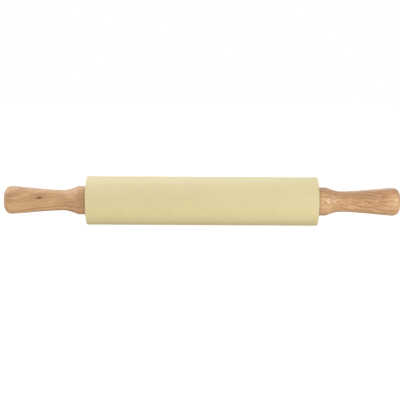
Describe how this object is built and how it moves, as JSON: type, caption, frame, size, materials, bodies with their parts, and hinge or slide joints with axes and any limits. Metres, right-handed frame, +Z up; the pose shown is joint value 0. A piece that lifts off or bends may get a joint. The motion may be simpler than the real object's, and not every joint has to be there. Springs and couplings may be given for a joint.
{
  "type": "silicone rolling pin",
  "caption": "Rolling pin whose soft silicone barrel turns freely on a steel axle between turned wooden handles with a waist and a rounded end.",
  "frame": {"origin": "centre of the barrel on the axle's axis", "axes": "+X along the axle towards the right handle, +Z up from the worktop that the pin lies on"},
  "size_m": [0.43, 0.0528, 0.0528],
  "materials": {
    "silicone": "matte, smooth, pale yellow",
    "wood": "sanded and oiled, fine grain",
    "core_plastic": "moulded, natural white",
    "nylon": "moulded, satin",
    "steel": "drawn, plain",
    "brass": "turned"
  },
  "bodies": {
    "handles": {"axle_rod": "steel", "left_handle": "wood", "right_handle": "wood", "left_handle_insert": "brass", "right_handle_insert": "brass", "left_shoulder_washer": "steel", "right_shoulder_washer": "steel"},
    "barrel": {"silicone_sleeve": "silicone", "core_tube": "core_plastic", "left_end_hub": "core_plastic", "right_end_hub": "core_plastic", "left_bush": "nylon", "right_bush": "nylon", "left_thrust_washer": "nylon", "right_thrust_washer": "nylon"}
  },
  "joints": [
    {"name": "barrel_spin", "type": "hinge", "parent": "handles", "child": "barrel", "pos_m": [0, 0, 0], "axis": [1, 0, 0], "continuous": true}
  ]
}
